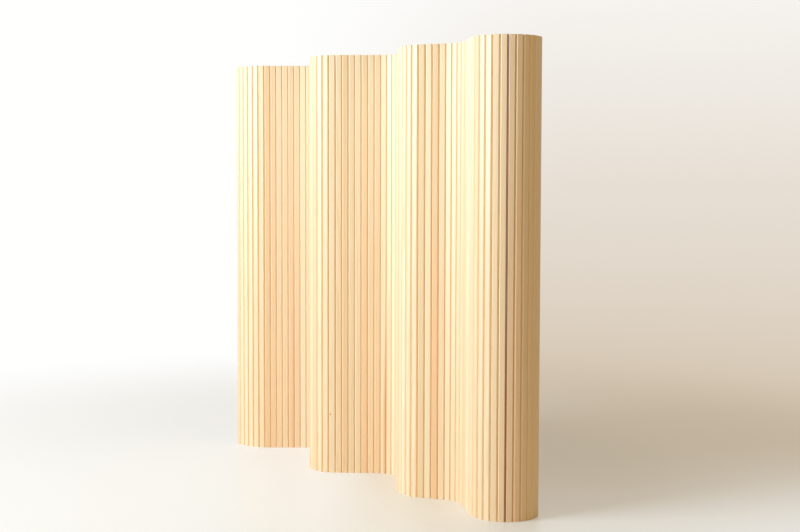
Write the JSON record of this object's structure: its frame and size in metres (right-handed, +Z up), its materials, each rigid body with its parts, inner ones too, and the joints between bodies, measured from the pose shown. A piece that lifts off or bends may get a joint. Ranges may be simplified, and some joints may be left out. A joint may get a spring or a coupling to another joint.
{
  "type": "slatted folding screen",
  "caption": "Free-standing room screen of narrow full-height pine slats strung on steel wires, flexible along its length and standing in a wave.",
  "frame": {"origin": "on the floor, under the middle of the wave's box", "axes": "+Z up; +X along the screen, from its left end to its right end as the front shows them; +Y to the back"},
  "size_m": [1.516, 0.3488, 1.5],
  "materials": {
    "pine": "clear matt lacquer",
    "wire_steel": "bright drawn",
    "ferrule_metal": "crimped"
  },
  "bodies": {
    "slat_01": {"slat_01": "pine", "ferrules_left": "ferrule_metal"},
    "slat_02": {"slat_02": "pine"},
    "slat_03": {"slat_03": "pine"},
    "slat_04": {"slat_04": "pine"},
    "slat_05": {"slat_05": "pine"},
    "slat_06": {"slat_06": "pine"},
    "slats_07_14": {"slats_07_14": "pine"},
    "slat_15": {"slat_15": "pine"},
    "slat_16": {"slat_16": "pine"},
    "slat_17": {"slat_17": "pine"},
    "slat_18": {"slat_18": "pine"},
    "slat_19": {"slat_19": "pine"},
    "slat_20": {"slat_20": "pine"},
    "slat_21": {"slat_21": "pine"},
    "slat_22": {"slat_22": "pine"},
    "slats_23_28": {"slats_23_28": "pine"},
    "slat_29": {"slat_29": "pine"},
    "slat_30": {"slat_30": "pine"},
    "slat_31": {"slat_31": "pine"},
    "slat_32": {"slat_32": "pine"},
    "slat_33": {"slat_33": "pine"},
    "slat_34": {"slat_34": "pine"},
    "slat_35": {"slat_35": "pine"},
    "slat_36": {"slat_36": "pine"},
    "slats_37_44": {"slats_37_44": "pine", "wires": "wire_steel"},
    "slat_45": {"slat_45": "pine"},
    "slat_46": {"slat_46": "pine"},
    "slat_47": {"slat_47": "pine"},
    "slat_48": {"slat_48": "pine"},
    "slat_49": {"slat_49": "pine"},
    "slats_50_54": {"slats_50_54": "pine"},
    "slat_55": {"slat_55": "pine"},
    "slat_56": {"slat_56": "pine"},
    "slat_57": {"slat_57": "pine"},
    "slat_58": {"slat_58": "pine"},
    "slat_59": {"slat_59": "pine"},
    "slat_60": {"slat_60": "pine"},
    "slat_61": {"slat_61": "pine"},
    "slats_62_65": {"slats_62_65": "pine"},
    "slat_66": {"slat_66": "pine"},
    "slat_67": {"slat_67": "pine"},
    "slat_68": {"slat_68": "pine"},
    "slat_69": {"slat_69": "pine"},
    "slats_70_74": {"slats_70_74": "pine"},
    "slat_75": {"slat_75": "pine"},
    "slat_76": {"slat_76": "pine"},
    "slat_77": {"slat_77": "pine"},
    "slat_78": {"slat_78": "pine"},
    "slat_79": {"slat_79": "pine"},
    "slat_80": {"slat_80": "pine"},
    "slat_81": {"slat_81": "pine"},
    "slat_82": {"slat_82": "pine"},
    "slat_83": {"slat_83": "pine"},
    "slat_84": {"slat_84": "pine"},
    "slat_85": {"slat_85": "pine"},
    "slat_86": {"slat_86": "pine", "ferrules_right": "ferrule_metal"}
  },
  "joints": [
    {"name": "hinge_36_37", "type": "hinge", "parent": "slats_37_44", "child": "slat_36", "pos_m": [-0.14341, -0.08886, 0], "axis": [0, 0, -1], "range_deg": [-25.17, 0.83], "deforming": ["wires"]},
    {"name": "hinge_35_36", "type": "hinge", "parent": "slat_36", "child": "slat_35", "pos_m": [-0.16466, -0.09833, 0], "axis": [0, 0, -1], "range_deg": [-24.04, 1.96], "deforming": ["wires"]},
    {"name": "hinge_34_35", "type": "hinge", "parent": "slat_35", "child": "slat_34", "pos_m": [-0.1877, -0.10156, 0], "axis": [0, 0, -1], "range_deg": [-22.92, 3.08], "deforming": ["wires"]},
    {"name": "hinge_33_34", "type": "hinge", "parent": "slat_34", "child": "slat_33", "pos_m": [-0.21079, -0.09875, 0], "axis": [0, 0, -1], "range_deg": [-21.79, 4.21], "deforming": ["wires"]},
    {"name": "hinge_32_33", "type": "hinge", "parent": "slat_33", "child": "slat_32", "pos_m": [-0.23255, -0.09052, 0], "axis": [0, 0, -1], "range_deg": [-20.67, 5.33], "deforming": ["wires"]},
    {"name": "hinge_31_32", "type": "hinge", "parent": "slat_32", "child": "slat_31", "pos_m": [-0.25198, -0.07771, 0], "axis": [0, 0, -1], "range_deg": [-19.54, 6.46], "deforming": ["wires"]},
    {"name": "hinge_30_31", "type": "hinge", "parent": "slat_31", "child": "slat_30", "pos_m": [-0.26844, -0.06128, 0], "axis": [0, 0, -1], "range_deg": [-18.41, 7.59], "deforming": ["wires"]},
    {"name": "hinge_29_30", "type": "hinge", "parent": "slat_30", "child": "slat_29", "pos_m": [-0.28167, -0.04214, 0], "axis": [0, 0, -1], "range_deg": [-17.29, 8.71], "deforming": ["wires"]},
    {"name": "hinge_28_29", "type": "hinge", "parent": "slat_29", "child": "slats_23_28", "pos_m": [-0.29164, -0.02112, 0], "axis": [0, 0, -1], "range_deg": [-16.16, 9.84], "deforming": ["wires"]},
    {"name": "hinge_22_23", "type": "hinge", "parent": "slats_23_28", "child": "slat_22", "pos_m": [-0.33291, 0.11224, 0], "axis": [0, 0, 1], "range_deg": [-26.73, 3.27], "deforming": ["wires"]},
    {"name": "hinge_21_22", "type": "hinge", "parent": "slat_22", "child": "slat_21", "pos_m": [-0.34522, 0.13198, 0], "axis": [0, 0, 1], "range_deg": [-26.3, 3.7], "deforming": ["wires"]},
    {"name": "hinge_20_21", "type": "hinge", "parent": "slat_21", "child": "slat_20", "pos_m": [-0.36202, 0.14807, 0], "axis": [0, 0, 1], "range_deg": [-25.87, 4.13], "deforming": ["wires"]},
    {"name": "hinge_19_20", "type": "hinge", "parent": "slat_20", "child": "slat_19", "pos_m": [-0.38219, 0.15967, 0], "axis": [0, 0, 1], "range_deg": [-25.43, 4.57], "deforming": ["wires"]},
    {"name": "hinge_18_19", "type": "hinge", "parent": "slat_19", "child": "slat_18", "pos_m": [-0.4045, 0.16627, 0], "axis": [0, 0, 1], "range_deg": [-25, 5], "deforming": ["wires"]},
    {"name": "hinge_17_18", "type": "hinge", "parent": "slat_18", "child": "slat_17", "pos_m": [-0.42772, 0.16767, 0], "axis": [0, 0, 1], "range_deg": [-24.57, 5.43], "deforming": ["wires"]},
    {"name": "hinge_16_17", "type": "hinge", "parent": "slat_17", "child": "slat_16", "pos_m": [-0.4507, 0.164, 0], "axis": [0, 0, 1], "range_deg": [-24.13, 5.87], "deforming": ["wires"]},
    {"name": "hinge_15_16", "type": "hinge", "parent": "slat_16", "child": "slat_15", "pos_m": [-0.47238, 0.15557, 0], "axis": [0, 0, 1], "range_deg": [-23.7, 6.3], "deforming": ["wires"]},
    {"name": "hinge_14_15", "type": "hinge", "parent": "slat_15", "child": "slats_07_14", "pos_m": [-0.49191, 0.14292, 0], "axis": [0, 0, 1], "range_deg": [-23.27, 6.73], "deforming": ["wires"]},
    {"name": "hinge_06_07", "type": "hinge", "parent": "slats_07_14", "child": "slat_06", "pos_m": [-0.62535, 0.01317, 0], "axis": [0, 0, -1], "range_deg": [-28.98, 7.02], "deforming": ["wires"]},
    {"name": "hinge_05_06", "type": "hinge", "parent": "slat_06", "child": "slat_05", "pos_m": [-0.64481, 0.00042, 0], "axis": [0, 0, -1], "range_deg": [-27.99, 8.01], "deforming": ["wires"]},
    {"name": "hinge_04_05", "type": "hinge", "parent": "slat_05", "child": "slat_04", "pos_m": [-0.66619, -0.00876, 0], "axis": [0, 0, -1], "range_deg": [-27, 9], "deforming": ["wires"]},
    {"name": "hinge_03_04", "type": "hinge", "parent": "slat_04", "child": "slat_03", "pos_m": [-0.68874, -0.01448, 0], "axis": [0, 0, -1], "range_deg": [-26, 10], "deforming": ["wires"]},
    {"name": "hinge_02_03", "type": "hinge", "parent": "slat_03", "child": "slat_02", "pos_m": [-0.71187, -0.017, 0], "axis": [0, 0, -1], "range_deg": [-25.01, 10.99], "deforming": ["wires"]},
    {"name": "hinge_01_02", "type": "hinge", "parent": "slat_02", "child": "slat_01", "pos_m": [-0.73513, -0.01669, 0], "axis": [0, 0, -1], "range_deg": [-24.02, 11.98], "deforming": ["wires"]},
    {"name": "hinge_44_45", "type": "hinge", "parent": "slats_37_44", "child": "slat_45", "pos_m": [-0.00336, 0.03374, 0], "axis": [0, 0, -1], "range_deg": [-28.06, 3.94], "deforming": ["wires"]},
    {"name": "hinge_45_46", "type": "hinge", "parent": "slat_45", "child": "slat_46", "pos_m": [0.01734, 0.04435, 0], "axis": [0, 0, -1], "range_deg": [-28.57, 3.43], "deforming": ["wires"]},
    {"name": "hinge_46_47", "type": "hinge", "parent": "slat_46", "child": "slat_47", "pos_m": [0.04005, 0.04942, 0], "axis": [0, 0, -1], "range_deg": [-29.08, 2.92], "deforming": ["wires"]},
    {"name": "hinge_47_48", "type": "hinge", "parent": "slat_47", "child": "slat_48", "pos_m": [0.06329, 0.0484, 0], "axis": [0, 0, -1], "range_deg": [-29.59, 2.41], "deforming": ["wires"]},
    {"name": "hinge_48_49", "type": "hinge", "parent": "slat_48", "child": "slat_49", "pos_m": [0.08541, 0.04118, 0], "axis": [0, 0, -1], "range_deg": [-30.1, 1.9], "deforming": ["wires"]},
    {"name": "hinge_49_50", "type": "hinge", "parent": "slat_49", "child": "slats_50_54", "pos_m": [0.10465, 0.0281, 0], "axis": [0, 0, -1], "range_deg": [-30.61, 1.39], "deforming": ["wires"]},
    {"name": "hinge_54_55", "type": "hinge", "parent": "slats_50_54", "child": "slat_55", "pos_m": [0.17817, -0.06205, 0], "axis": [0, 0, 1], "range_deg": [-16.26, 13.74], "deforming": ["wires"]},
    {"name": "hinge_55_56", "type": "hinge", "parent": "slat_55", "child": "slat_56", "pos_m": [0.19418, -0.07894, 0], "axis": [0, 0, 1], "range_deg": [-17.86, 12.14], "deforming": ["wires"]},
    {"name": "hinge_56_57", "type": "hinge", "parent": "slat_56", "child": "slat_57", "pos_m": [0.21182, -0.0941, 0], "axis": [0, 0, 1], "range_deg": [-19.47, 10.53], "deforming": ["wires"]},
    {"name": "hinge_57_58", "type": "hinge", "parent": "slat_57", "child": "slat_58", "pos_m": [0.23128, -0.10684, 0], "axis": [0, 0, 1], "range_deg": [-21.07, 8.93], "deforming": ["wires"]},
    {"name": "hinge_58_59", "type": "hinge", "parent": "slat_58", "child": "slat_59", "pos_m": [0.25252, -0.11636, 0], "axis": [0, 0, 1], "range_deg": [-22.68, 7.32], "deforming": ["wires"]},
    {"name": "hinge_59_60", "type": "hinge", "parent": "slat_59", "child": "slat_60", "pos_m": [0.27514, -0.12177, 0], "axis": [0, 0, 1], "range_deg": [-24.28, 5.72], "deforming": ["wires"]},
    {"name": "hinge_60_61", "type": "hinge", "parent": "slat_60", "child": "slat_61", "pos_m": [0.2984, -0.12225, 0], "axis": [0, 0, 1], "range_deg": [-25.89, 4.11], "deforming": ["wires"]},
    {"name": "hinge_61_62", "type": "hinge", "parent": "slat_61", "child": "slats_62_65", "pos_m": [0.3211, -0.11714, 0], "axis": [0, 0, 1], "range_deg": [-27.49, 2.51], "deforming": ["wires"]},
    {"name": "hinge_65_66", "type": "hinge", "parent": "slats_62_65", "child": "slat_66", "pos_m": [0.40312, -0.07316, 0], "axis": [0, 0, -1], "range_deg": [-28.67, 5.33], "deforming": ["wires"]},
    {"name": "hinge_66_67", "type": "hinge", "parent": "slat_66", "child": "slat_67", "pos_m": [0.42553, -0.06693, 0], "axis": [0, 0, -1], "range_deg": [-28.94, 5.06], "deforming": ["wires"]},
    {"name": "hinge_67_68", "type": "hinge", "parent": "slat_67", "child": "slat_68", "pos_m": [0.44877, -0.06588, 0], "axis": [0, 0, -1], "range_deg": [-29.2, 4.8], "deforming": ["wires"]},
    {"name": "hinge_68_69", "type": "hinge", "parent": "slat_68", "child": "slat_69", "pos_m": [0.47164, -0.07017, 0], "axis": [0, 0, -1], "range_deg": [-29.46, 4.54], "deforming": ["wires"]},
    {"name": "hinge_69_70", "type": "hinge", "parent": "slat_69", "child": "slats_70_74", "pos_m": [0.49289, -0.07966, 0], "axis": [0, 0, -1], "range_deg": [-29.73, 4.27], "deforming": ["wires"]},
    {"name": "hinge_74_75", "type": "hinge", "parent": "slats_70_74", "child": "slat_75", "pos_m": [0.5848, -0.15096, 0], "axis": [0, 0, 1], "range_deg": [-29.85, 6.15], "deforming": ["wires"]},
    {"name": "hinge_75_76", "type": "hinge", "parent": "slat_75", "child": "slat_76", "pos_m": [0.60572, -0.16114, 0], "axis": [0, 0, 1], "range_deg": [-29.95, 6.05], "deforming": ["wires"]},
    {"name": "hinge_76_77", "type": "hinge", "parent": "slat_76", "child": "slat_77", "pos_m": [0.62829, -0.16677, 0], "axis": [0, 0, 1], "range_deg": [-30.05, 5.95], "deforming": ["wires"]},
    {"name": "hinge_77_78", "type": "hinge", "parent": "slat_77", "child": "slat_78", "pos_m": [0.65155, -0.16756, 0], "axis": [0, 0, 1], "range_deg": [-30.16, 5.84], "deforming": ["wires"]},
    {"name": "hinge_78_79", "type": "hinge", "parent": "slat_78", "child": "slat_79", "pos_m": [0.67444, -0.16344, 0], "axis": [0, 0, 1], "range_deg": [-30.26, 5.74], "deforming": ["wires"]},
    {"name": "hinge_79_80", "type": "hinge", "parent": "slat_79", "child": "slat_80", "pos_m": [0.69594, -0.15454, 0], "axis": [0, 0, 1], "range_deg": [-30.36, 5.64], "deforming": ["wires"]},
    {"name": "hinge_80_81", "type": "hinge", "parent": "slat_80", "child": "slat_81", "pos_m": [0.71504, -0.14125, 0], "axis": [0, 0, 1], "range_deg": [-30.47, 5.53], "deforming": ["wires"]},
    {"name": "hinge_81_82", "type": "hinge", "parent": "slat_81", "child": "slat_82", "pos_m": [0.73081, -0.12416, 0], "axis": [0, 0, 1], "range_deg": [-30.57, 5.43], "deforming": ["wires"]},
    {"name": "hinge_82_83", "type": "hinge", "parent": "slat_82", "child": "slat_83", "pos_m": [0.74249, -0.10403, 0], "axis": [0, 0, 1], "range_deg": [-30.68, 5.32], "deforming": ["wires"]},
    {"name": "hinge_83_84", "type": "hinge", "parent": "slat_83", "child": "slat_84", "pos_m": [0.74947, -0.08184, 0], "axis": [0, 0, 1], "range_deg": [-30.78, 5.22], "deforming": ["wires"]},
    {"name": "hinge_84_85", "type": "hinge", "parent": "slat_84", "child": "slat_85", "pos_m": [0.75136, -0.05865, 0], "axis": [0, 0, 1], "range_deg": [-30.88, 5.12], "deforming": ["wires"]},
    {"name": "hinge_85_86", "type": "hinge", "parent": "slat_85", "child": "slat_86", "pos_m": [0.74804, -0.03562, 0], "axis": [0, 0, 1], "range_deg": [-30.99, 5.01], "deforming": ["wires"]}
  ]
}
